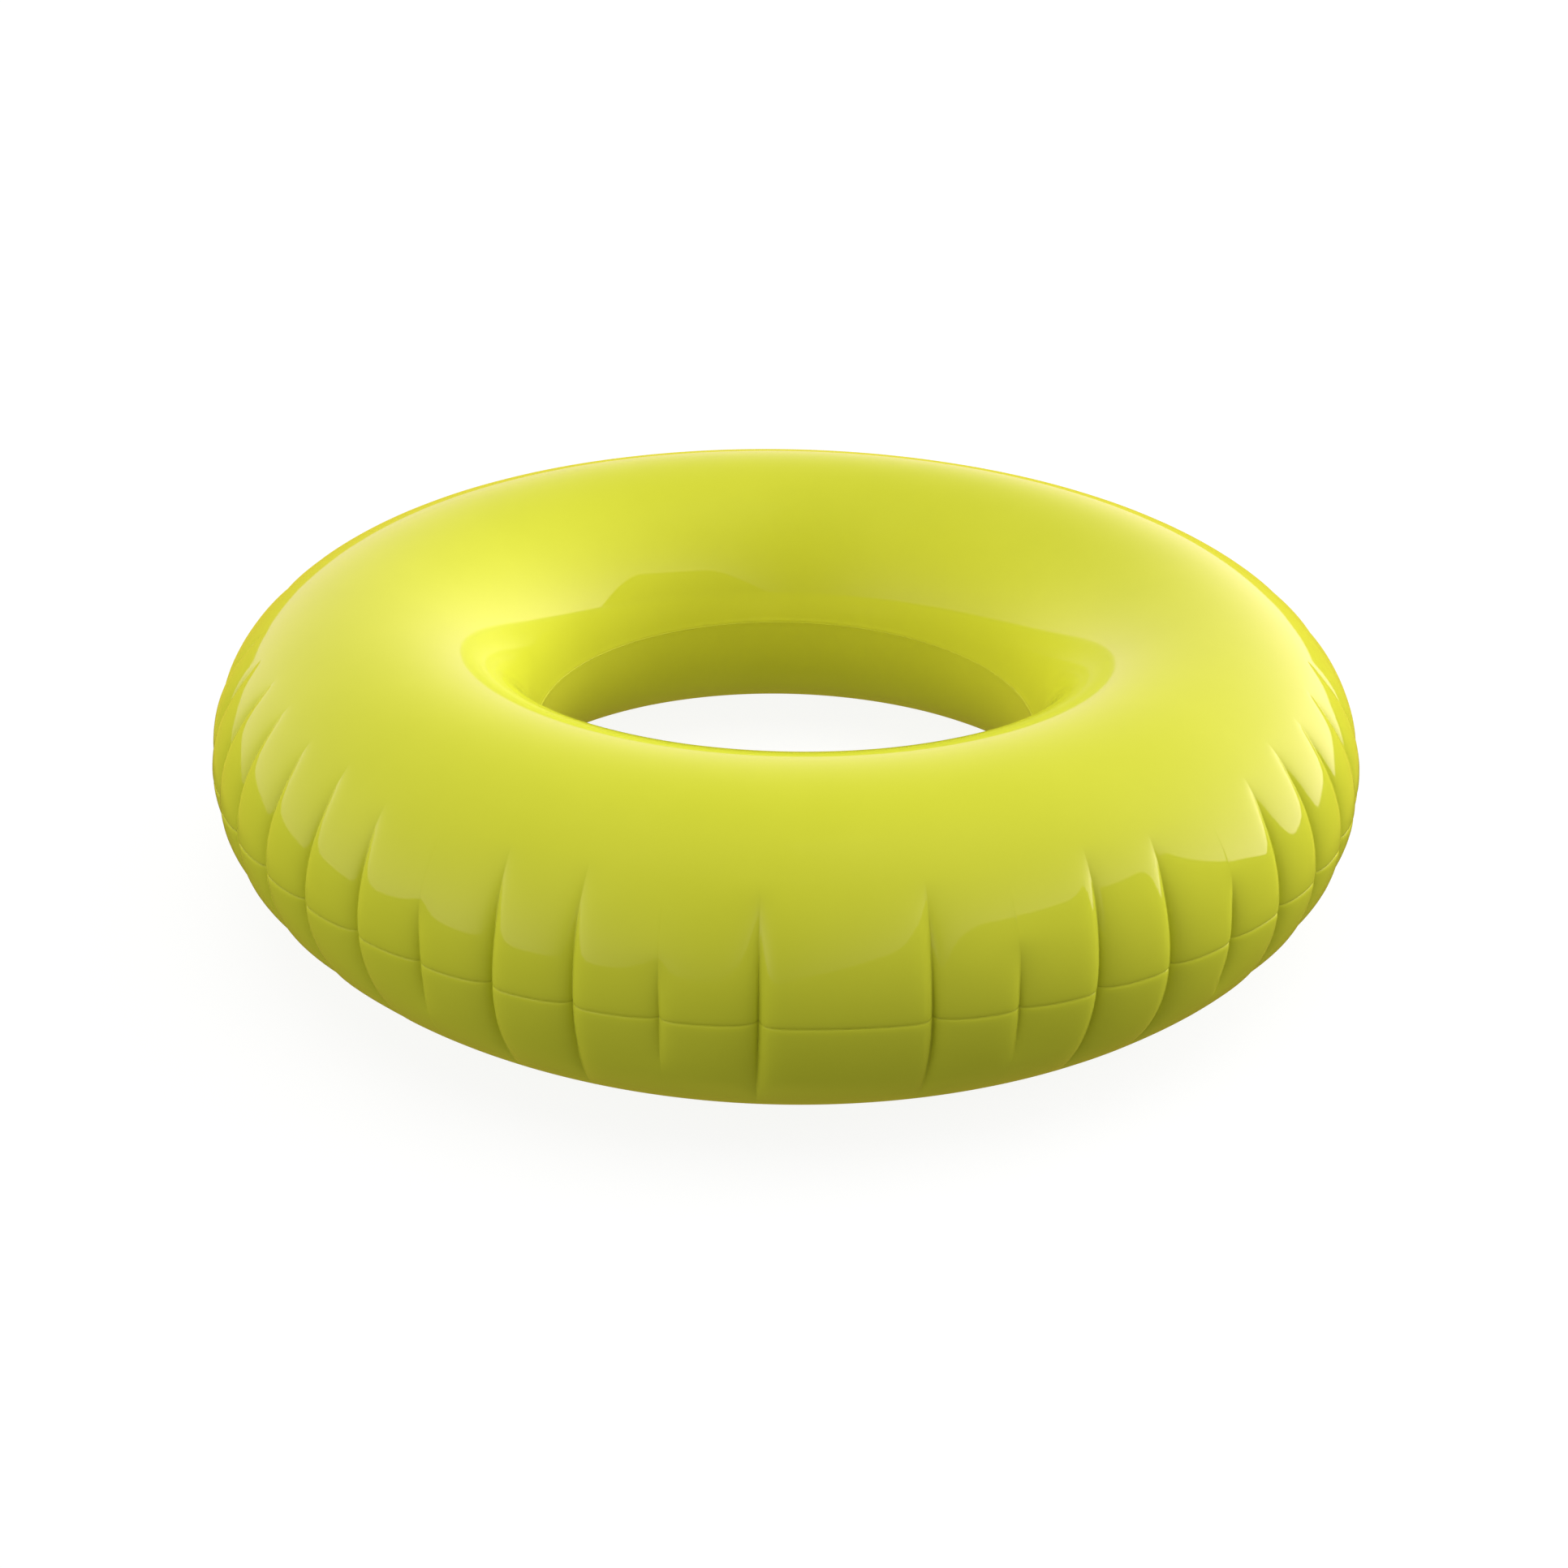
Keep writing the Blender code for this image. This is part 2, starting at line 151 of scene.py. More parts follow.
FOLD_ROUNDING = 0.35 * MM
WAVER = 0.10  # degrees that a pucker strays from its meridian
LEAN = 0.25  # degrees that it leans by its end
FRONT_DRIFT = 0.15  # degrees that a pucker strays from its even place
BACK_DRIFT = 0.5
REACH_SPREAD = 0.06
DEPTH_SPREAD = 0.12
FADE_POWER = 1.3
OUTER_SEAM_DIP = 1.3 * MM
SEAM_DIP_WIDTH = 1.8 * MM
INNER_RIDGE = 2.0 * MM
INNER_RIDGE_WIDTH = 14.0 * MM
INNER_ROUNDING = 6.0 * MM
INNER_BAND = 0.3 * MM  # how proud the inner weld's flat band stands
INNER_BAND_HALF_WIDTH = 4.5 * MM
INNER_BAND_SLOPE = 1.5 * MM
PANEL_STEPS = 18
CROWDING = 0.93  # of the grid's columns towards the puckers
VALVE_CALM = 75.0 * MM  # the flange keeps puckers away for about this far

# The valve, on its own axis: heights from the skin, outwards.
VALVE_ANGLE = 180.0
VALVE_SECTION_ANGLE = -45.0
NECK_RADIUS = 17.0 * MM
BORE_RADIUS = 14.5 * MM
NECK_DEPTH = 14.0 * MM
NECK_HOLE_REACH = 25.0 * MM  # of the cutter for the neck's hole, each way
COLLAR_HEIGHT = 3.0 * MM
FLANGE_RADIUS = 30.0 * MM
FLANGE_THICKNESS = 1.2 * MM
GASKET_BOTTOM = 3.3 * MM
GASKET_TOP = 4.3 * MM
GASKET_RADIUS = BORE_RADIUS + 2.3 * MM
INSERT_RADIUS = 14.2 * MM
INSERT_DEPTH = 12.0 * MM
RIM_BOTTOM = 4.6 * MM
GROOVE_BOTTOM = 5.6 * MM
GROOVE_TOP = 7.7 * MM
RIM_TOP = 8.7 * MM
RIM_RADIUS = 19.5 * MM
RIM_NOTCHES = 36
NOTCH_DEPTH = 0.35 * MM
GROOVE_RADIUS = 16.5 * MM
MOUTH_RADIUS = 9.0 * MM
SKIRT_RADIUS = 10.5 * MM
SEAT_BOTTOM = -8.0 * MM
SEAT_TOP = -6.0 * MM
STEM_RADIUS = 1.2 * MM
AIR_HOLES = 6
AIR_HOLE_RADIUS = 1.5 * MM
AIR_HOLE_CIRCLE = 4.6 * MM
FLAP_RADIUS = 8.0 * MM
KNOB_RADIUS = 2.2 * MM
EYE_BOTTOM = 9.0 * MM
EYE_WIDTH = 3.2 * MM
STRAP_THICKNESS = 1.5 * MM
STRAP_HALF_WIDTH = 4.0 * MM
STRAP_REACH = 26.0 * MM
CAP_BOTTOM = 10.8 * MM
CAP_TOP = 16.3 * MM
CAP_RADIUS = 15.0 * MM
CAP_SEAL_RADIUS = MOUTH_RADIUS + 2.7 * MM
CAP_LOBES = 16
LOBE_DEPTH = 0.7 * MM
PLUG_RADIUS = 8.7 * MM
PLUG_WALL = 2.0 * MM
PLUG_END = 1.1 * MM
DISH_RADIUS = 11.5 * MM
DISH_DEPTH = 3.0 * MM
BAR_HALF_WIDTH = 2.0 * MM
GAP = 0.3 * MM
THREAD_DEPTH = 0.8 * MM
CAP_THREAD_DEPTH = 0.5 * MM
INSERT_PITCH = 4.0 * MM
CAP_PITCH = 3.0 * MM
TURNED_PHASE = 0.37  # steps that a turned grid starts off the axis, so that cuts never meet its edges
CUTTER_PHASE = 0.21


def pucker_places():
    """Angle, reach, depth, lean and waver phase of every pucker.

    They are evenly spaced, about every third one is short, and near the front, by exp(-(i / 7)^2), they
    are a little shorter, shallower and further left.
    """
    rng = np.random.default_rng(7)
    rows = []
    for i in range(-(PUCKER_COUNT // 2), PUCKER_COUNT // 2 + 1):
        drift, length, strength, lean, waver = rng.uniform(-1, 1, 5)
        if i == MISSING_PUCKER:
            continue
        front = abs(i) <= FRONT_PUCKERS
        short = i in SHORT_PUCKERS if front else i % 3 == 0
        nearness = math.exp(-((i / NUDGE_SPREAD) ** 2))
        angle = FIRST_PUCKER + i * PUCKER_PITCH + drift * (FRONT_DRIFT if front else BACK_DRIFT)
        angle -= FRONT_NUDGE * nearness * (i != 0)
        reach = (SHORT_REACH if short else LONG_REACH) * (1 + REACH_SPREAD * length)
        reach *= 1 - FRONT_SHORTENING * nearness**2
        depth = (SHORT_DEPTH if short else LONG_DEPTH) * (1 + DEPTH_SPREAD * strength)
        depth *= 1 - FRONT_SHALLOWING * nearness
        rows.append((angle, reach, depth, LEAN * lean, math.pi * waver))
    return np.array(rows).T


PUCKER_ANGLES, PUCKER_REACHES, PUCKER_DEPTHS, PUCKER_LEANS, PUCKER_PHASES = pucker_places()


def cusp(distance, width, e=FOLD_ROUNDING):
    """A rounded cusp: exp(-(sqrt(d^2 + e^2) - e) / width), 1 in the fold and 0 far from it."""
    return np.exp(-(np.sqrt(distance**2 + e**2) - e) / width)


def around_the_ring():
    """For each column of the ring's grid: the pucker on its left, and its share of the way to the next.

    Within a panel the share is s - k sin(2 pi s) / (2 pi) of a uniform s, where k is the crowding, so the
    columns lie closest near both puckers. A wider panel has more columns, as its width to the power 0.6.
    """
    left, share = [], []
    gaps = np.diff(np.append(PUCKER_ANGLES, PUCKER_ANGLES[0] + 360))
    for i, gap in enumerate(gaps):
        steps = int(round(PANEL_STEPS * (gap / PUCKER_PITCH) ** 0.6))
        s = np.arange(steps) / steps
        share.append(s - CROWDING * np.sin(math.tau * s) / math.tau)
        left.append(np.full(steps, i))
    return np.concatenate(left), np.concatenate(share)


def pucker_line(i, section_angles):
    """Angles round the ring of puckers i at the section angles.

    Each is its meridian, plus a lean in proportion to the section angle, plus a slow sine, both fading
    out between one long reach and two.
    """
    turn = section_angles / LONG_REACH
    waver = WAVER * np.sin(3 * turn + PUCKER_PHASES[i][:, None])
    fade_out = np.clip(2 - np.abs(turn), 0, 1)
    return PUCKER_ANGLES[i][:, None] + (PUCKER_LEANS[i][:, None] * turn + waver) * fade_out


def valve_calm(theta, phi, flat_radius):
    """1 - exp(-(distance / calm)^4) of the distance from the valve along the skin: 0 at the valve."""
    turn = theta - math.radians(VALVE_ANGLE)
    turn = np.arctan2(np.sin(turn), np.cos(turn))
    rise = TUBE_HALF_HEIGHT * (phi - math.radians(VALVE_SECTION_ANGLE))
    return 1 - np.exp(-((np.hypot(turn * flat_radius, rise) / VALVE_CALM) ** 4))


def ring_grid(section_angles, outward):
    """Points of a skin, (columns, rows, 3), for section angles in degrees, moved outward by a distance.

    The section is an ellipse round the tube's middle. Every pucker draws the skin in by its depth times
    (1 - (angle / reach)^2)^1.3, shared between a narrow fold and a wide hollow, both rounded cusps of the
    distance round the ring; the hollow is wider on the side away from the ring's front. The valve's calm
    scales that down. A narrow dip, exp(-d / width), runs along the outer seam, and a low rounded ridge
    with a flat band on it along the inner one.
    """
    left, share = around_the_ring()
    right = (left + 1) % len(PUCKER_ANGLES)
    left_line = pucker_line(left, section_angles)
    right_line = pucker_line(right, section_angles) + 360 * (right < left)[:, None]
    theta = np.radians(left_line + share[:, None] * (right_line - left_line))
    phi = np.radians(section_angles)[None, :]
    flat_radius = TUBE_MIDDLE + TUBE_HALF_WIDTH * np.cos(phi)
    span = np.radians(right_line - left_line) * flat_radius
    inset = np.zeros((len(left), len(section_angles)))
    calm = valve_calm(theta, phi, flat_radius)
    for side, away, faces_back in ((left, share, 1), (right, 1 - share, -1)):
        fade = np.clip(1 - (section_angles[None, :] / PUCKER_REACHES[side][:, None]) ** 2, 0, 1)
        depth = PUCKER_DEPTHS[side][:, None] * fade**FADE_POWER * calm
        distance = span * away[:, None]
        fold = cusp(distance, FOLD_WIDTH * (2 - fade))
        far = (PUCKER_ANGLES[side][:, None] - FRONT_TURN) * faces_back > 0
        hollow_width = np.where(far, FAR_HOLLOW_WIDTH, NEAR_HOLLOW_WIDTH)
        hollow = cusp(distance, hollow_width * (1.5 - 0.5 * fade))
        inset += depth * (FOLD_SHARE * fold + (1 - FOLD_SHARE) * hollow)
    inset += OUTER_SEAM_DIP * np.exp(-np.abs(phi) * TUBE_HALF_HEIGHT / SEAM_DIP_WIDTH)
    from_inner = (math.pi - np.abs(phi)) * TUBE_HALF_HEIGHT
    inset -= INNER_RIDGE * cusp(from_inner, INNER_RIDGE_WIDTH, INNER_ROUNDING)
    inset -= INNER_BAND * np.clip((INNER_BAND_HALF_WIDTH - from_inner) / INNER_BAND_SLOPE, 0, 1)
    normal = np.stack([np.cos(phi) * TUBE_HALF_HEIGHT, np.sin(phi) * TUBE_HALF_WIDTH])
    normal /= np.linalg.norm(normal, axis=0)
    move = outward - inset
    radius = flat_radius + normal[0] * move
    height = SEAM_HEIGHT + TUBE_HALF_HEIGHT * np.sin(phi) + normal[1] * move
    return placed(theta, radius, height)


def placed(theta, radius, height):
    """(radius, angle from the front, height) as x, y, z."""
    theta, radius, height = np.broadcast_arrays(theta, radius, height)
    return np.stack([radius * np.sin(theta), -radius * np.cos(theta), height], axis=-1)


def mesh_piece(name, points, faces, body, material):
    mesh = bpy.data.meshes.new(name)
    mesh.from_pydata(points.reshape(-1, 3), [], faces)
    mesh.materials.append(material)
    mesh.shade_smooth()
    piece = bpy.data.objects.new(name, mesh)
    bpy.context.scene.collection.objects.link(piece)
    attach(piece, body)
    return piece


def closed_faces(columns, rows):
    """Quads of a grid that is closed both ways, like a tyre's."""
    column, row = np.meshgrid(np.arange(columns), np.arange(rows), indexing="ij")
    this, following = column * rows, (column + 1) % columns * rows
    above = (row + 1) % rows
    quads = np.stack([this + row, following + row, following + above, this + above], axis=-1)
    return quads.reshape(-1, 4)


def section_rows():
    """Section angles of a skin's outer face, from the outer seam to the inner, closest near both."""
    arc = np.array([0.0, 0.4, 0.8, 1.3, 2.0, 3.0, 4.5, 7.0]) * MM
    near = np.degrees(arc / TUBE_HALF_HEIGHT)
    first = np.linspace(4.6, 60, 30)
    middle = np.linspace(64, 174, 30)
    far = 180 - near[::-1]
    return np.concatenate([near, first, middle, far])


def make_skin(name, side, material):
    """One skin: its outer face, a lip turned in along each seam, and its inner face; side is 1 or -1."""
    rows = section_rows()
    outer = ring_grid(side * rows, 0.0)
    inner = ring_grid(side * rows[::-1][4:-4:3], -SKIN_THICKNESS)  # coarser, and short of the lips
    level = SEAM_HEIGHT + side * LIP_HEIGHT
    outer[:, 0, 2] = level
    outer[:, -1, 2] = level
    lips = []
    for edge, inwards in ((outer[:, -1], 1), (outer[:, 0], -1)):
        radius = np.hypot(edge[:, 0], edge[:, 1])[:, None]
        corners = (
            (LIP_WIDTH, 0.0),
            (LIP_WIDTH, SKIN_THICKNESS),
            (SKIN_THICKNESS, SKIN_THICKNESS),
        )
        for reach, lift in corners:
            point = edge * ((radius + inwards * reach) / radius)
            point[:, 2] = level + side * lift
            lips.append(point)
    lips = np.stack(lips, axis=1)
    grid = np.concatenate([outer, lips[:, :3], inner, lips[:, :2:-1]], axis=1)
    faces = closed_faces(*grid.shape[:2])
    if side < 0:
        faces = faces[:, ::-1]
    return mesh_piece(name, grid, faces, "tube", material)


def make_weld(name, angle, material):
    """The weld between two lips: a thin band along the puckered seam, with a rounded outer edge."""
    edge = ring_grid(np.array([angle]), 0.0)[:, 0]
    radius = np.hypot(edge[:, 0], edge[:, 1])[:, None]
    out = 1 if angle == 0 else -1
    section = [  # reach past the seam, and height in half heights
        (-LIP_WIDTH, -1),
        (-LIP_WIDTH, 1),
        (0.0, 1),
        (0.35 * MM, 0.7),
        (0.5 * MM, 0),
        (0.35 * MM, -0.7),
        (0.0, -1),
    ]
    grid = np.stack([edge * ((radius + out * reach) / radius) for reach, _ in section], axis=1)
    grid[:, :, 2] = SEAM_HEIGHT + BAND_HALF_HEIGHT * np.array([lift for _, lift in section])
    faces = closed_faces(*grid.shape[:2])
    if out > 0:
        faces = faces[:, ::-1]
    return mesh_piece(name, grid, faces, "tube", material)


def valve_axes():
    """The valve's own axes: along the ring, across it, and outwards along the section's normal."""
    turn, section = math.radians(VALVE_ANGLE), math.radians(VALVE_SECTION_ANGLE)
    away = Vector((math.sin(turn), -math.cos(turn), 0))
    place = away * (TUBE_MIDDLE + TUBE_HALF_WIDTH * math.cos(section))
    place.z = SEAM_HEIGHT + TUBE_HALF_HEIGHT * math.sin(section)
    outwards = away * (TUBE_HALF_HEIGHT * math.cos(section))
    outwards.z = TUBE_HALF_WIDTH * math.sin(section)
    outwards.normalize()
    along = Vector((-away.y, away.x, 0))
    axes = Matrix((along, outwards.cross(along), outwards)).transposed().to_4x4()
    return Matrix.Translation(place) @ axes


VALVE_AXES = np.array(valve_axes())


def on_valve(points):
    """Points in the valve's own axes, moved to the ring."""
    return points @ VALVE_AXES[:3, :3].T + VALVE_AXES[:3, 3]


def skin_height(x, y):
    """How high the round tube lies over the valve's plane at (x, y), by Newton steps along the axis."""
    height = np.zeros_like(x)
    for _ in range(6):
        point = on_valve(np.stack([x, y, height], axis=-1))
        radius = np.hypot(point[..., 0], point[..., 1])
        across = (radius - TUBE_MIDDLE) / TUBE_HALF_WIDTH
        up = (point[..., 2] - SEAM_HEIGHT) / TUBE_HALF_HEIGHT
        slope = across / TUBE_HALF_WIDTH * (point[..., :2] @ VALVE_AXES[:2, 2]) / radius
        slope += up / TUBE_HALF_HEIGHT * VALVE_AXES[2, 2]
        height -= (across**2 + up**2 - 1) / (2 * slope)
    return height


def rounded(outline, rounding, closed=True):
    """An outline's corners as short curves: a(1 - t)^2 + 2 c t(1 - t) + b t^2 about each corner c."""
    corner = np.array(outline, float)
    before, after = np.roll(corner, 1, axis=0), np.roll(corner, -1, axis=0)
    ends = []
    for other in (before, after):
        side = other - corner
        length = np.linalg.norm(side, axis=1, keepdims=True)
        ends.append(corner + side * np.minimum(rounding / np.maximum(length, 1e-9), 0.45))
    t = np.linspace(0, 1, 5)[None, :, None]
    start, end = ends[0][:, None], ends[1][:, None]
    curves = start * (1 - t) ** 2 + 2 * corner[:, None] * t * (1 - t) + end * t**2
    if closed:
        return curves.reshape(-1, 2)
    return np.concatenate([corner[:1], curves[1:-1].reshape(-1, 2), corner[-1:]])


def divided(outline, spacing):
    """The outline with its long straight runs divided into steps no longer than the spacing."""
    parts = []
    for a, b in zip(outline, np.roll(outline, -1, axis=0)):
        count = max(1, math.ceil(np.linalg.norm(b - a) / spacing))
        parts.append(a + (b - a) * (np.arange(count) / count)[:, None])
    return np.concatenate(parts)


def turned(name, outline, body, material, steps=144, change=None, closed=True):
    """An outline of (radius, height) turned round the valve's axis, as radius (cos, sin) and height.

    change(radius, height, angle) may return a new radius and height for every point. An outline that
    isn't closed starts and ends on the axis.
    """
    angle = ((np.arange(steps) + TURNED_PHASE) / steps * math.tau)[:, None]
    radius, height = (np.broadcast_to(outline[:, k], (steps, len(outline))).copy() for k in (0, 1))
    if change:
        radius, height = change(radius, height, angle)
    grid = on_valve(np.stack([radius * np.cos(angle), radius * np.sin(angle), height], axis=-1))
    faces = closed_faces(*grid.shape[:2])
    if not closed:
        keep = faces[:, 0] % len(outline) != len(outline) - 1
        faces = faces[keep]
    piece = mesh_piece(name, grid, faces.tolist(), body, material)
    sealed(piece.data)
    return piece


def sealed(mesh):
    """Merges doubled points, as at a pole, and turns the faces outwards."""
    bm = bmesh.new()
    bm.from_mesh(mesh)
    bmesh.ops.remove_doubles(bm, verts=bm.verts, dist=1e-6)
    bmesh.ops.dissolve_degenerate(bm, edges=bm.edges, dist=1e-7)
    bmesh.ops.recalc_face_normals(bm, faces=bm.faces)
    bm.to_mesh(mesh)
    bm.free()
    mesh.shade_smooth()
    mesh.set_sharp_from_angle(angle=math.radians(35))


def joined(piece, others, operation):
    """The piece cut by, or grown with, other meshes, which are then removed."""
    for other in others:
        cut = piece.modifiers.new(other.name, "BOOLEAN")
        cut.operation = operation
        cut.object = other
        cut.solver = "EXACT"
    shape = bpy.data.meshes.new_from_object(piece.evaluated_get(bpy.context.evaluated_depsgraph_get()))
    piece.modifiers.clear()
    piece.data = shape
    for other in others:
        bpy.data.objects.remove(other)
    return piece


def cutter(name, outline, steps=48, place=(0.0, 0.0)):
    """A turned solid for cutting or joining, with its axis at a place beside the valve's."""
    angle = ((np.arange(steps) + CUTTER_PHASE) / steps * math.tau)[:, None]
    radius, height = outline[:, 0][None, :], outline[:, 1][None, :] + 0 * angle
    x, y = place[0] + radius * np.cos(angle), place[1] + radius * np.sin(angle)
    grid = on_valve(np.stack([x, y, height], axis=-1))
    mesh = bpy.data.meshes.new(name)
    mesh.from_pydata(grid.reshape(-1, 3), [], closed_faces(*grid.shape[:2]).tolist())
    sealed(mesh)
    made = bpy.data.objects.new(name, mesh)
    bpy.context.scene.collection.objects.link(made)
    return made


def rod(name, radius, low, high, place=(0.0, 0.0)):
    outline = np.array([(0, low), (radius, low), (radius, high), (0, high)], float)
    return cutter(name, outline, place=place)


def thread(height, angle, pitch, low, high):
    """A helical ridge: 1 on its crest and 0 between turns, and fading out near its low and high ends."""
    wave = 0.5 + 0.5 * np.cos(height / pitch * math.tau - angle)
    ends = np.clip((height - low) / (0.5 * pitch), 0, 1) * np.clip((high - height) / (0.5 * pitch), 0, 1)
    return np.clip(1.6 * wave - 0.3, 0, 1) * ends


def make_base(material):
    """The welded flange with its pressed weld rings, draped on the round skin, and the threaded neck."""
    ring_radii = np.arange(20.0, 28.6, 0.7) * MM
    top = [(r, FLANGE_THICKNESS - 0.25 * MM * (k % 2)) for k, r in enumerate(ring_radii)]
    outline = np.array([
        (BORE_RADIUS, -NECK_DEPTH),
        (NECK_RADIUS, -NECK_DEPTH),
        (NECK_RADIUS, -0.4 * MM),
        (FLANGE_RADIUS - 0.3 * MM, -0.1 * MM),
        (FLANGE_RADIUS, 0.25 * MM),
        (FLANGE_RADIUS - 0.6 * MM, FLANGE_THICKNESS),
        *top[::-1],
        (NECK_RADIUS + 0.8 * MM, FLANGE_THICKNESS + 0.1 * MM),
        (NECK_RADIUS, FLANGE_THICKNESS + 0.8 * MM),
        (NECK_RADIUS, COLLAR_HEIGHT),
        (BORE_RADIUS, COLLAR_HEIGHT),
    ])
    outline = divided(rounded(outline, 0.25 * MM), 0.5 * MM)

    def drape(radius, height, angle):
        follow = np.clip((radius - NECK_RADIUS + 0.2 * MM) / (0.4 * MM), 0, 1)
        height = height + follow * skin_height(radius * np.cos(angle), radius * np.sin(angle))
        inner = np.abs(radius - BORE_RADIUS) < 0.01 * MM
        cut = 1 - thread(height, angle, INSERT_PITCH, -NECK_DEPTH, COLLAR_HEIGHT - 0.4 * MM)
        return radius + inner * cut * THREAD_DEPTH, height

    return turned("valve_flange_and_neck", outline, "tube", material, 180, drape)


def make_insert(material):
    """The threaded body with a notched, grooved rim, and a seat with air holes over the flap's pocket."""
    outline = [
        (STEM_RADIUS + GAP, SEAT_BOTTOM),
        (SKIRT_RADIUS, SEAT_BOTTOM),
        (SKIRT_RADIUS, -INSERT_DEPTH),
        (INSERT_RADIUS, -INSERT_DEPTH),
        (INSERT_RADIUS, RIM_BOTTOM),
        (RIM_RADIUS, RIM_BOTTOM),
        (RIM_RADIUS, GROOVE_BOTTOM),
        (GROOVE_RADIUS, GROOVE_BOTTOM),
        (GROOVE_RADIUS, GROOVE_TOP),
        (RIM_RADIUS, GROOVE_TOP),
        (RIM_RADIUS, RIM_TOP),
        (MOUTH_RADIUS, RIM_TOP),
        (MOUTH_RADIUS, SEAT_TOP),
        (STEM_RADIUS + GAP, SEAT_TOP),
    ]
    outline = divided(rounded(outline, 0.25 * MM), 0.4 * MM)

    def shape(radius, height, angle):
        wall = (np.abs(radius - INSERT_RADIUS) < 0.01 * MM) & (height < RIM_BOTTOM)
        cut = 1 - thread(height, angle, INSERT_PITCH, -INSERT_DEPTH, RIM_BOTTOM - 1.0 * MM)
        radius = radius - wall * cut * THREAD_DEPTH
        mouth = (np.abs(radius - MOUTH_RADIUS) < 0.01 * MM) & (height > SEAT_TOP)
        ridge = thread(height, angle, CAP_PITCH, 0.0, RIM_TOP - 0.5 * MM)
        radius = radius + mouth * (1 - ridge) * CAP_THREAD_DEPTH
        notch = np.clip((radius - RIM_RADIUS + 0.6 * MM) / (0.6 * MM), 0, 1)
        return radius - notch * NOTCH_DEPTH * (0.5 + 0.5 * np.cos(RIM_NOTCHES * angle)), height

    piece = turned("valve_screw_insert", outline, "insert", material, 216, shape)
    cutters = []
    for i in range(AIR_HOLES):
        turn = math.tau * i / AIR_HOLES
        place = (AIR_HOLE_CIRCLE * math.cos(turn), AIR_HOLE_CIRCLE * math.sin(turn))
        ends = (SEAT_BOTTOM - 2 * MM, SEAT_TOP + 2 * MM)
        cutters.append(rod(f"air_hole_{i}", AIR_HOLE_RADIUS, *ends, place))
    return joined(piece, cutters, "DIFFERENCE")


def make_flap(material):
    """The flap, slightly dished, with its stem and the pointed knob that holds it."""
    top = SEAT_BOTTOM - GAP
    knob = SEAT_TOP + 2.8 * MM
    outline = [
        (0.0, top - 1.0 * MM),
        (FLAP_RADIUS, top - 0.7 * MM),
        (FLAP_RADIUS, top),
        (STEM_RADIUS, top),
        (STEM_RADIUS, knob),
        (KNOB_RADIUS, knob),
        (STEM_RADIUS, knob + 1.5 * MM),
        (0.0, knob + 1.5 * MM),
    ]
    outline = rounded(outline, 0.3 * MM, closed=False)
    return turned("flap_disc_and_stem", outline, "flap", material, 96, closed=False)


def make_seal(name, inner, outer, bottom, top, body, material):
    """A flat ring with well rounded edges."""
    corners = [(inner, bottom), (outer, bottom), (outer, top), (inner, top)]
    outline = rounded(corners, 0.45 * (top - bottom))
    return turned(name, outline, body, material, 120)


def make_strap(material):
    """An eye in the insert's groove, an eye under the cap, and the looped web that joins them."""
    low, high = GROOVE_BOTTOM + GAP, EYE_BOTTOM
    low_inner, high_inner = GROOVE_RADIUS + GAP, MOUTH_RADIUS + 3.0 * MM
    eyes = []
    for inner, bottom in ((low_inner, low), (high_inner, high)):
        corners = [(inner, bottom), (inner + EYE_WIDTH, bottom)]
        corners += [(r, bottom + STRAP_THICKNESS) for r, _ in corners[::-1]]
        eyes.append(rounded(corners, 0.3 * MM))
    piece = turned("strap_eyes_and_web", eyes[0], "insert", material, 120)
    upper = cutter("upper_eye", eyes[1], 120)
    half = STRAP_THICKNESS / 2
    middle, bend = (low + high) / 2 + half, (high - low) / 2
    angle = np.linspace(math.pi / 2, -math.pi / 2, 24)
    overlap = 2.1 * MM
    loop_x = STRAP_REACH + bend * np.cos(angle)
    x = np.concatenate([[high_inner + overlap], loop_x, [low_inner + overlap]])
    z = np.concatenate([[high + half], middle + bend * np.sin(angle), [low + half]])
    slope = np.arctan2(np.gradient(z), np.gradient(x))
    edge = rounded([(-1, -1), (1, -1), (1, 1), (-1, 1)], 0.3)
    width, thick = STRAP_HALF_WIDTH * edge[:, 0], (half - 0.1 * MM) * edge[:, 1]
    grid = np.stack(
        [
            x[:, None] - np.sin(slope)[:, None] * thick,
            np.broadcast_to(width, (len(x), len(width))),
            z[:, None] + np.cos(slope)[:, None] * thick,
        ],
        axis=-1,
    )
    count = len(width)
    faces = closed_faces(*grid.shape[:2])[: (len(x) - 1) * count].tolist()
    faces += [list(range(count)), list(range((len(x) - 1) * count, len(x) * count))[::-1]]
    mesh = bpy.data.meshes.new("web")
    mesh.from_pydata(on_valve(grid).reshape(-1, 3), [], faces)
    sealed(mesh)
    web = bpy.data.objects.new("web", mesh)
    bpy.context.scene.collection.objects.link(web)
    return joined(piece, [web, upper], "UNION")


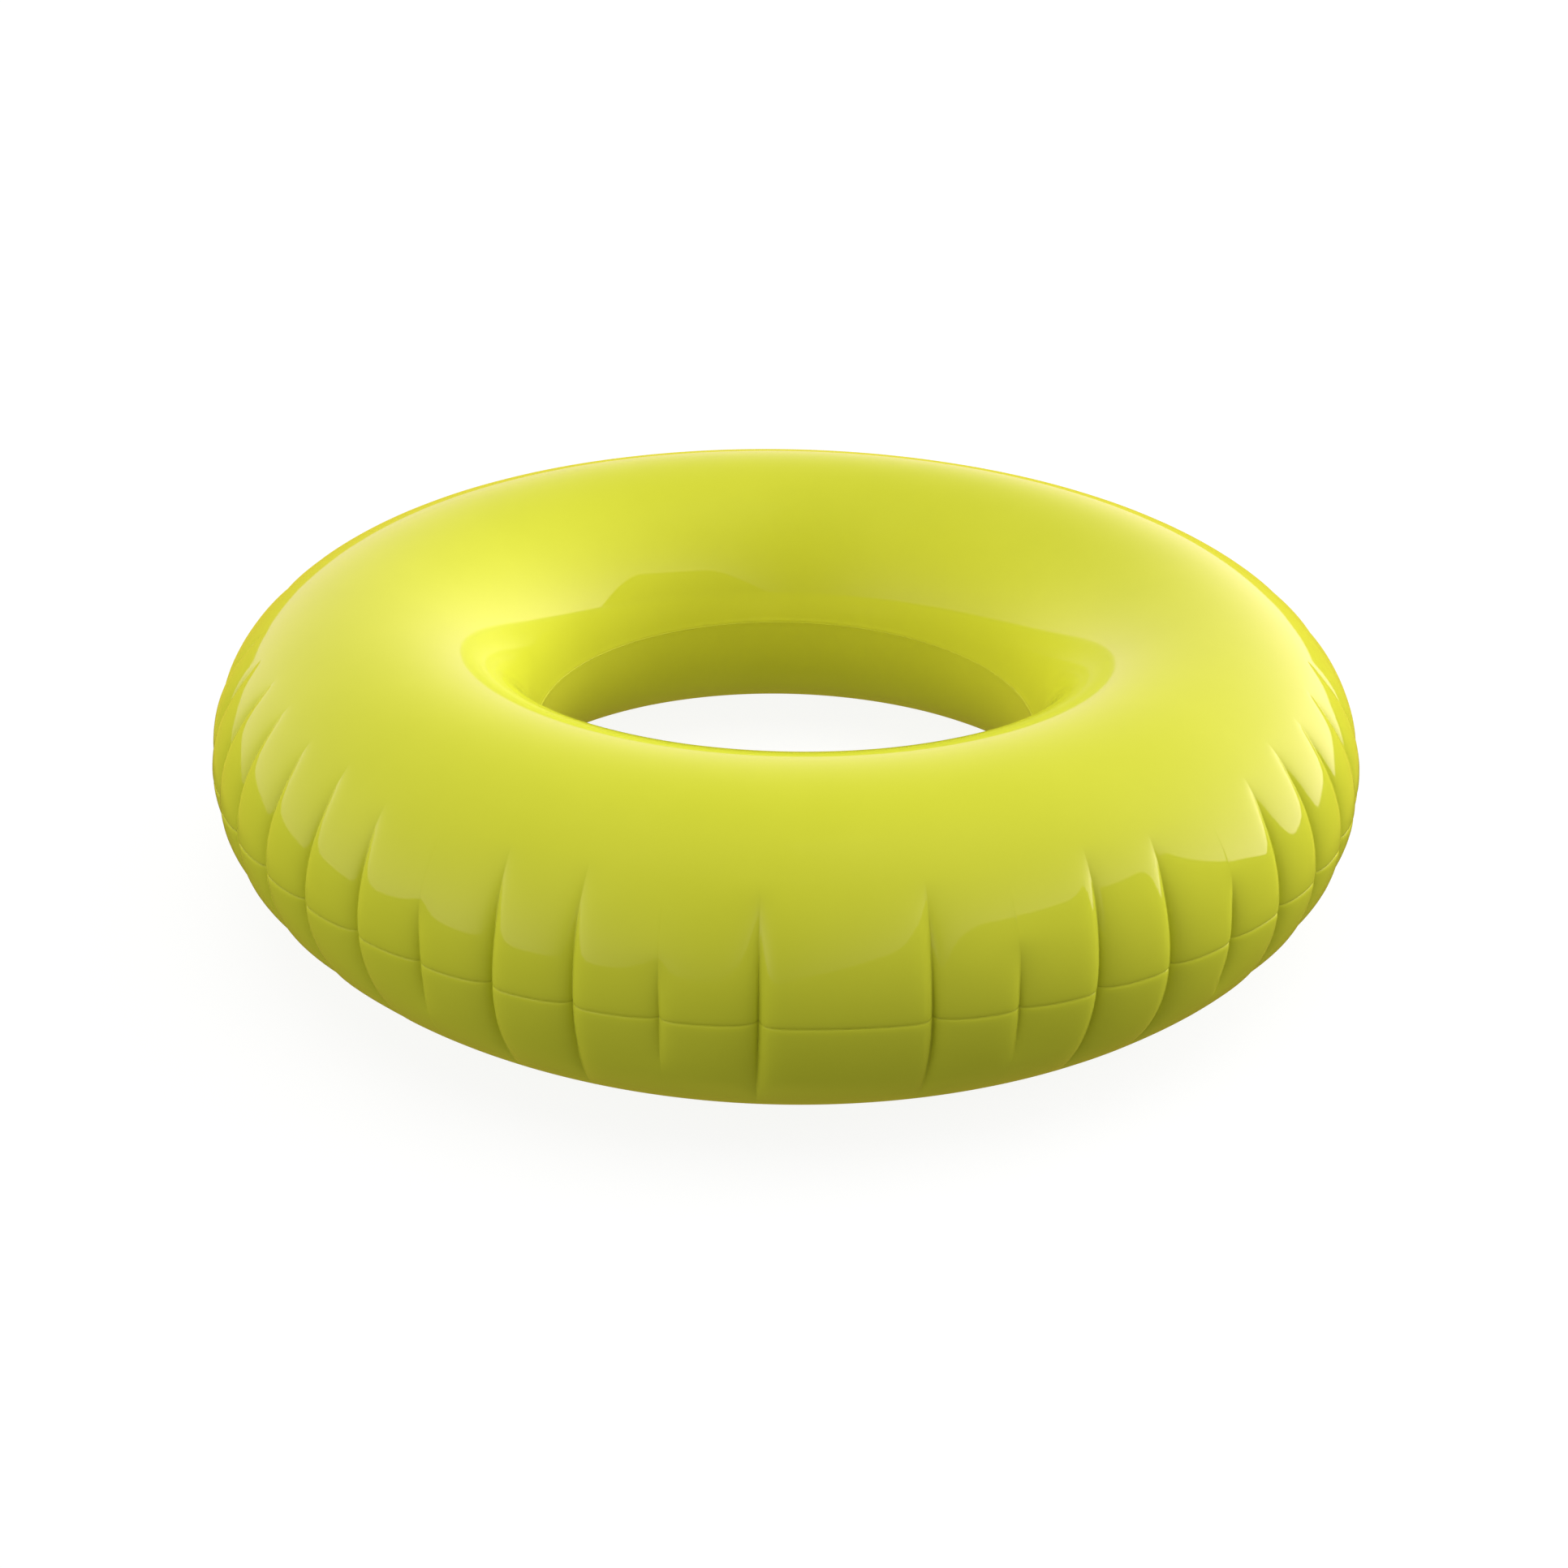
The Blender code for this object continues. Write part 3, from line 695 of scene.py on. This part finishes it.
def make_cap(material):
    """The screw cap: a lobed edge, a finger bar between two hollows, and a threaded hollow plug."""
    outline = [
        (0.0, CAP_TOP),
        (CAP_RADIUS, CAP_TOP),
        (CAP_RADIUS, CAP_BOTTOM),
        (PLUG_RADIUS, CAP_BOTTOM),
        (PLUG_RADIUS, PLUG_END),
        (PLUG_RADIUS - PLUG_WALL, PLUG_END),
        (PLUG_RADIUS - PLUG_WALL, CAP_BOTTOM),
        (0.0, CAP_BOTTOM),
    ]
    outline = rounded(outline, 0.5 * MM, closed=False)
    outline = divided(outline, 0.3 * MM)
    on_axis = np.where(outline[:, 0] < 1e-9)[0]
    outline = outline[: on_axis[on_axis > 5][0] + 1]

    def shape(radius, height, angle):
        grip = np.clip((radius - CAP_RADIUS + 2.0 * MM) / (2.0 * MM), 0, 1)
        grip = grip * (height > CAP_BOTTOM - GAP)
        radius = radius - grip * LOBE_DEPTH * (0.5 - 0.5 * np.cos(CAP_LOBES * angle))
        x = np.abs(radius * np.cos(angle))
        beside = np.clip((x - BAR_HALF_WIDTH + 0.1 * MM) / (0.9 * MM), 0, 1)
        inside = np.clip((DISH_RADIUS - radius) / (0.9 * MM), 0, 1)
        on_top = height > CAP_TOP - 0.05 * MM
        ease = [v * v * (3 - 2 * v) for v in (beside, inside)]
        height = height - on_top * DISH_DEPTH * ease[0] * ease[1]
        wall = (np.abs(radius - PLUG_RADIUS) < 0.01 * MM) & (height < CAP_BOTTOM)
        ridge = thread(height, angle, CAP_PITCH, PLUG_END, CAP_BOTTOM - 0.5 * MM)
        return radius - wall * (1 - ridge) * CAP_THREAD_DEPTH, height

    name, slot = "cap_with_finger_bar", "valve_hard_plastic"
    return turned(name, outline, "cap", material, 288, shape, closed=False)


class Value:
    """A socket that carries a number; Python's operators on it add Math nodes."""

    def __init__(self, tree, socket):
        self.tree, self.socket = tree, socket

    def math(self, operation, *others, swap=False):
        operands = [self, *others]
        if swap:
            operands = operands[::-1]
        made = self.tree.nodes.new("ShaderNodeMath")
        made.operation = operation
        for socket, operand in zip(made.inputs, operands):
            if isinstance(operand, Value):
                self.tree.links.new(operand.socket, socket)
            else:
                socket.default_value = operand
        return Value(self.tree, made.outputs[0])

    def __add__(self, other):
        return self.math("ADD", other)

    def __radd__(self, other):
        return self.math("ADD", other, swap=True)

    def __sub__(self, other):
        return self.math("SUBTRACT", other)

    def __rsub__(self, other):
        return self.math("SUBTRACT", other, swap=True)

    def __mul__(self, other):
        return self.math("MULTIPLY", other)

    def __rmul__(self, other):
        return self.math("MULTIPLY", other, swap=True)

    def __truediv__(self, other):
        return self.math("DIVIDE", other)

    def __pow__(self, other):
        return self.math("POWER", other)


class Nodes:
    """Adds nodes to one tree: node(type, settings, inputs) returns the node."""

    def __init__(self, tree):
        self.tree = tree
        tree.nodes.clear()

    def node(self, kind, settings=None, inputs=None):
        made = self.tree.nodes.new(kind)
        for name, value in (settings or {}).items():
            setattr(made, name, value)
        for name, value in (inputs or {}).items():
            if isinstance(value, Value):
                value = value.socket
            if isinstance(value, bpy.types.NodeSocket):
                self.tree.links.new(value, made.inputs[name])
            else:
                made.inputs[name].default_value = value
        return made

    def value(self, kind, output=0, settings=None, inputs=None):
        return Value(self.tree, self.node(kind, settings, inputs).outputs[output])

    def step(self, value, low, high):
        """0 below low, 1 above high, and a smooth rise between them."""
        return self.value(
            "ShaderNodeMapRange",
            settings={"interpolation_type": "SMOOTHSTEP"},
            inputs={"Value": value, "From Min": low, "From Max": high},
        )


def principled(nodes, inputs):
    shader = nodes.node("ShaderNodeBsdfPrincipled", inputs=inputs)
    nodes.node("ShaderNodeOutputMaterial", inputs={"Surface": shader.outputs[0]})


def new_material(name):
    made = bpy.data.materials.new(name)
    made.use_nodes = True
    return made, Nodes(made.node_tree)


def vinyl_material():
    made, nodes = new_material("lime_vinyl")
    place = nodes.node("ShaderNodeTexCoord").outputs["Object"]
    cloud = nodes.value("ShaderNodeTexNoise", inputs={"Vector": place, "Scale": 9.0, "Detail": 3.0})
    peel = nodes.value("ShaderNodeTexNoise", inputs={"Vector": place, "Scale": 260.0, "Detail": 2.0})
    color = nodes.node(
        "ShaderNodeMix",
        settings={"data_type": "RGBA"},
        inputs={0: cloud, 6: LIME, 7: PALE_LIME},
    ).outputs[2]
    bump = nodes.node(
        "ShaderNodeBump", inputs={"Strength": 0.04, "Distance": 0.0005, "Height": peel}
    ).outputs[0]
    principled(
        nodes,
        {
            "Base Color": color,
            "Roughness": 0.04 + 0.03 * cloud,
            "IOR": 1.5,
            "Normal": bump,
        },
    )
    return made


def plastic_material(name, color, roughness):
    made, nodes = new_material(name)
    place = nodes.node("ShaderNodeTexCoord").outputs["Object"]
    grain = nodes.value("ShaderNodeTexNoise", inputs={"Vector": place, "Scale": 1500.0, "Detail": 2.0})
    cloud = nodes.value("ShaderNodeTexNoise", inputs={"Vector": place, "Scale": 120.0, "Detail": 2.0})
    mix = nodes.node(
        "ShaderNodeMix",
        settings={"data_type": "RGBA"},
        inputs={0: cloud, 6: (*[0.85 * c for c in color], 1), 7: (*[1.15 * c for c in color], 1)},
    ).outputs[2]
    bump = nodes.node(
        "ShaderNodeBump", inputs={"Strength": 0.15, "Distance": 0.0001, "Height": grain}
    ).outputs[0]
    principled(nodes, {"Base Color": mix, "Roughness": roughness + 0.1 * grain, "Normal": bump})
    return made


def make_world():
    """A pale sky over darker ground, brightest low on the right, with a skyline at the front right.

    Directions are split into height z and angle round the ring. Above the skyline the brightness is a
    level plus a lobe for each of several angles, times exp(-(z / fall)^2). Below it is the ground, which
    is brighter at the back. Reflections see one more lobe and their own tints.
    """
    world = bpy.data.worlds.new("studio_sky")
    world.use_nodes = True
    bpy.context.scene.world = world
    nodes = Nodes(world.node_tree)
    direction = nodes.node("ShaderNodeTexCoord").outputs["Generated"]
    split = nodes.node("ShaderNodeSeparateXYZ", inputs={0: direction})
    x, y, z = (Value(world.node_tree, split.outputs[i]) for i in range(3))
    angle = x.math("ARCTAN2", y * -1.0) * (180 / math.pi)
    rise, fall = nodes.step(angle, *SKYLINE_RISE), nodes.step(angle, *SKYLINE_FALL)
    hill = rise * (1 - fall) * SKYLINE_HEIGHT
    above = nodes.step(z - hill, -SKYLINE_SOFTNESS, SKYLINE_SOFTNESS)

    def lobe(middle, width):
        """exp(-(d / width)^2) of the turn d from the middle, taken the short way round."""
        turn = (angle - middle + 540.0).math("FLOORED_MODULO", 360.0) - 180.0
        return ((turn / width) ** 2.0 * -1.0).math("EXPONENT")

    low = ((z / SKY_FALL) ** 2.0 * -1.0).math("EXPONENT")
    level = SKY_LEVEL
    for middle, width, brightness in SKY_LOBES:
        level = level + brightness * lobe(middle, width)
    path = nodes.node("ShaderNodeLightPath").outputs
    gloss = Value(world.node_tree, path["Is Glossy Ray"])
    far = nodes.step(z, *FAR_GROUND)
    back_ground = BACK_GROUND + BACK_GROUND_GLOSS * gloss * far
    ground = GROUND_LEVEL + back_ground * lobe(180.0, BACK_GROUND_WIDTH)
    middle, width, brightness = GLOSS_LOBE
    level = level + brightness * gloss * lobe(middle, width)
    shade = 1 - BACK_SHADE * (1 - gloss) * lobe(*BACK_SHADE_LOBE)
    strength = (above * level * low + (1 - above) * ground) * shade
    gloss_tint = nodes.node(
        "ShaderNodeMix",
        settings={"data_type": "RGBA"},
        inputs={0: above, 6: GROUND_GLOSS_TINT, 7: GLOSS_TINT},
    ).outputs[2]
    tint = nodes.node(
        "ShaderNodeMix",
        settings={"data_type": "RGBA"},
        inputs={0: path["Is Glossy Ray"], 6: SKY_TINT, 7: gloss_tint},
    ).outputs[2]
    lit = nodes.node("ShaderNodeBackground", inputs={"Color": tint, "Strength": strength})
    plain = nodes.node("ShaderNodeBackground", inputs={"Color": (1, 1, 1, 1), "Strength": 1.0})
    mixed = nodes.node(
        "ShaderNodeMixShader",
        inputs={0: path["Is Camera Ray"], 1: lit.outputs[0], 2: plain.outputs[0]},
    )
    nodes.node("ShaderNodeOutputWorld", inputs={"Surface": mixed.outputs[0]})


def make_lamp(name, angle, elevation, strength):
    """A soft distant lamp with no reflection, at an angle round the ring and an elevation."""
    data = bpy.data.lights.new(name, "SUN")
    data.energy = strength
    data.angle = math.radians(LAMP_SPREAD)
    lamp = bpy.data.objects.new(name, data)
    turn, rise = math.radians(angle), math.radians(elevation)
    across = math.cos(rise)
    towards = Vector((math.sin(turn) * across, -math.cos(turn) * across, math.sin(rise)))
    lamp.rotation_mode = "QUATERNION"
    lamp.rotation_quaternion = towards.to_track_quat("Z", "Y")
    lamp.location = LAMP_DISTANCE * towards
    lamp.visible_glossy = False
    bpy.context.scene.collection.objects.link(lamp)


def make_hole_lamp():
    """A soft, dim lamp in the ring's hole, which lifts its inner wall."""
    data = bpy.data.lights.new("hole_lamp", "POINT")
    data.energy = HOLE_LAMP_POWER
    data.color = HOLE_LAMP_COLOR
    data.shadow_soft_size = HOLE_LAMP_RADIUS
    lamp = bpy.data.objects.new("hole_lamp", data)
    lamp.location = HOLE_LAMP_PLACE
    lamp.visible_glossy = False
    lamp.visible_camera = False
    bpy.context.scene.collection.objects.link(lamp)


def make_floor():
    mesh = bpy.data.meshes.new("floor")
    half = FLOOR_HALF_SIZE
    corners = [(-half, -half, 0), (half, -half, 0), (half, half, 0), (-half, half, 0)]
    mesh.from_pydata(corners, [], [(0, 1, 2, 3)])
    floor = bpy.data.objects.new("floor", mesh)
    floor.location.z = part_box("lower_skin")[0][2] - FLOOR_GAP
    bpy.context.scene.collection.objects.link(floor)
    made, nodes = new_material("pale_floor")
    principled(
        nodes,
        {
            "Base Color": FLOOR_COLOR,
            "Roughness": 0.9,
            "Specular IOR Level": 0.0,
            "Emission Color": (1, 1, 1, 1),
            "Emission Strength": FLOOR_GLOW,
        },
    )
    mesh.materials.append(made)
    floor.visible_diffuse = False
    floor.visible_glossy = False
    floor.visible_shadow = False


def make_camera():
    data = bpy.data.cameras.new("camera")
    data.lens = CAMERA_LENS
    data.sensor_width = CAMERA_SENSOR
    camera = bpy.data.objects.new("camera", data)
    bpy.context.scene.collection.objects.link(camera)
    place = Vector(CAMERA_PLACE)
    look = (Vector(CAMERA_TARGET) - place).to_track_quat("-Z", "Y").to_matrix().to_4x4()
    roll = Matrix.Rotation(math.radians(CAMERA_ROLL), 4, "Z")
    camera.matrix_world = Matrix.Translation(place) @ look @ roll
    bpy.context.scene.camera = camera


def main():
    make_camera()
    make_world()
    for name, angle, elevation, strength in LAMPS:
        make_lamp(name, angle, elevation, strength)
    make_hole_lamp()
    make_floor()
    vinyl = vinyl_material()
    soft = plastic_material("valve_soft_plastic", SOFT_PLASTIC, 0.4)
    hard = plastic_material("valve_hard_plastic", HARD_PLASTIC, 0.3)
    rubber = plastic_material("seal_rubber", RUBBER, 0.55)
    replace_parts(make_skin("upper_vinyl", 1, vinyl), "upper_skin")
    lower = make_skin("lower_vinyl", -1, vinyl)
    neck_hole = rod("neck_hole", NECK_RADIUS + GAP, -NECK_HOLE_REACH, NECK_HOLE_REACH)
    joined(lower, [neck_hole], "DIFFERENCE")
    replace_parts(lower, "lower_skin")
    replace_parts(make_weld("outer_weld", 0.0, vinyl), "outer_weld_band")
    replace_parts(make_weld("inner_weld", 180.0, vinyl), "inner_weld_band")
    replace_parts(make_base(soft), "valve_base")
    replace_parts(make_insert(hard), "valve_insert")
    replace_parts(make_flap(rubber), "check_flap")
    size = (BORE_RADIUS + GAP, GASKET_RADIUS, GASKET_BOTTOM, GASKET_TOP)
    seal = make_seal("insert_seal_ring", *size, "insert_seal", rubber)
    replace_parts(seal, "insert_gasket")
    size = (MOUTH_RADIUS + GAP, CAP_SEAL_RADIUS, EYE_BOTTOM, EYE_BOTTOM + STRAP_THICKNESS)
    seal = make_seal("cap_seal_ring", *size, "cap_seal", rubber)
    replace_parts(seal, "cap_gasket")
    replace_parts(make_strap(soft), "cap_strap")
    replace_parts(make_cap(hard), "valve_cap")
    bpy.context.scene.view_settings.view_transform = "Standard"


main()
